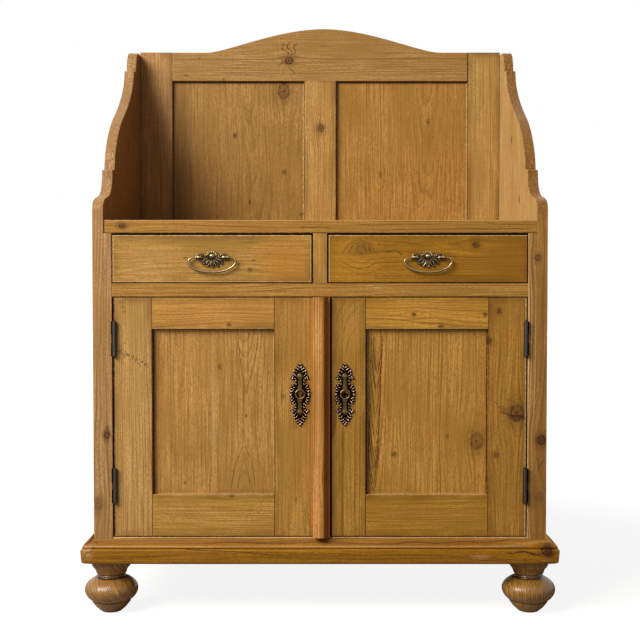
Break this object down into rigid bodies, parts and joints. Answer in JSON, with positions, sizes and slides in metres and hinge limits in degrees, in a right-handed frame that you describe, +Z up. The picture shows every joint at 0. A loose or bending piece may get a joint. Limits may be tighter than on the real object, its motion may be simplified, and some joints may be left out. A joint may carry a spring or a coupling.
{
  "type": "washstand cabinet",
  "caption": "Pine cupboard with drawers over framed doors, a counter between shaped side boards, a framed gallery back, moulded base and bun feet",
  "frame": {"origin": "on the floor under the middle of the overall box", "axes": "+Z up, +X to the right seen from the front, +Y to the back; doors and drawers face -Y"},
  "size_m": [0.99, 0.515, 1.322],
  "materials": {
    "waxed_pine": "aged honey pine, waxed",
    "raw_pine": "unfinished pine inside",
    "aged_brass": "cast, darkened, rubbed bright on the high spots",
    "dark_iron": "dark patina"
  },
  "bodies": {
    "carcass": {"side_left": "waxed_pine", "side_right": "waxed_pine", "worktop": "waxed_pine", "front_stile_left": "waxed_pine", "front_stile_right": "waxed_pine", "drawer_divider": "waxed_pine", "drawer_bed": "waxed_pine", "bottom_board": "raw_pine", "cupboard_shelf": "raw_pine", "plinth_front": "waxed_pine", "plinth_left": "waxed_pine", "plinth_right": "waxed_pine", "foot_front_left": "waxed_pine", "foot_front_right": "waxed_pine", "foot_rear_left": "waxed_pine", "foot_rear_right": "waxed_pine", "crest_rail": "waxed_pine", "back_stile_left": "waxed_pine", "back_stile_right": "waxed_pine", "back_muntin": "waxed_pine", "back_panel_left": "waxed_pine", "back_panel_right": "waxed_pine", "lower_back": "raw_pine", "left_upper_hinge_frame_leaf": "dark_iron", "left_lower_hinge_frame_leaf": "dark_iron", "right_upper_hinge_frame_leaf": "dark_iron", "right_lower_hinge_frame_leaf": "dark_iron"},
    "left_drawer": {"left_drawer_front": "waxed_pine", "left_drawer_side_left": "raw_pine", "left_drawer_side_right": "raw_pine", "left_drawer_back": "raw_pine", "left_drawer_bottom": "raw_pine", "left_pull_plate": "aged_brass"},
    "left_bail": {"left_pull_bail": "aged_brass"},
    "left_door": {"left_door_outer_stile": "waxed_pine", "left_door_lock_stile": "waxed_pine", "left_door_top_rail": "waxed_pine", "left_door_bottom_rail": "waxed_pine", "left_door_panel": "waxed_pine", "left_upper_hinge_door_leaf": "dark_iron", "left_lower_hinge_door_leaf": "dark_iron", "left_escutcheon": "aged_brass", "meeting_moulding": "waxed_pine"},
    "right_drawer": {"right_drawer_front": "waxed_pine", "right_drawer_side_left": "raw_pine", "right_drawer_side_right": "raw_pine", "right_drawer_back": "raw_pine", "right_drawer_bottom": "raw_pine", "right_pull_plate": "aged_brass"},
    "right_bail": {"right_pull_bail": "aged_brass"},
    "right_door": {"right_door_outer_stile": "waxed_pine", "right_door_lock_stile": "waxed_pine", "right_door_top_rail": "waxed_pine", "right_door_bottom_rail": "waxed_pine", "right_door_panel": "waxed_pine", "right_upper_hinge_door_leaf": "dark_iron", "right_lower_hinge_door_leaf": "dark_iron", "right_escutcheon": "aged_brass", "lock_case": "dark_iron"},
    "lock_bolt": {"lock_bolt": "dark_iron"}
  },
  "joints": [
    {"name": "left_door_hinge", "type": "hinge", "parent": "carcass", "child": "left_door", "pos_m": [-0.4245, -0.237, 0.4115], "axis": [0, 0, -1], "range_deg": [0, 140]},
    {"name": "left_drawer_slide", "type": "slide", "parent": "carcass", "child": "left_drawer", "axis": [0, -1, 0], "range_m": [0, 0.3]},
    {"name": "left_bail_pivot", "type": "hinge", "parent": "left_drawer", "child": "left_bail", "pos_m": [-0.2225, -0.2385, 0.742], "axis": [-1, 0, 0], "range_deg": [0, 85]},
    {"name": "right_door_hinge", "type": "hinge", "parent": "carcass", "child": "right_door", "pos_m": [0.4245, -0.237, 0.4115], "axis": [0, 0, 1], "range_deg": [0, 140]},
    {"name": "right_drawer_slide", "type": "slide", "parent": "carcass", "child": "right_drawer", "axis": [0, -1, 0], "range_m": [0, 0.3]},
    {"name": "right_bail_pivot", "type": "hinge", "parent": "right_drawer", "child": "right_bail", "pos_m": [0.2225, -0.2385, 0.742], "axis": [-1, 0, 0], "range_deg": [0, 85]},
    {"name": "lock_bolt_slide", "type": "slide", "parent": "right_door", "child": "lock_bolt", "axis": [-1, 0, 0], "range_m": [0, 0.012]}
  ]
}
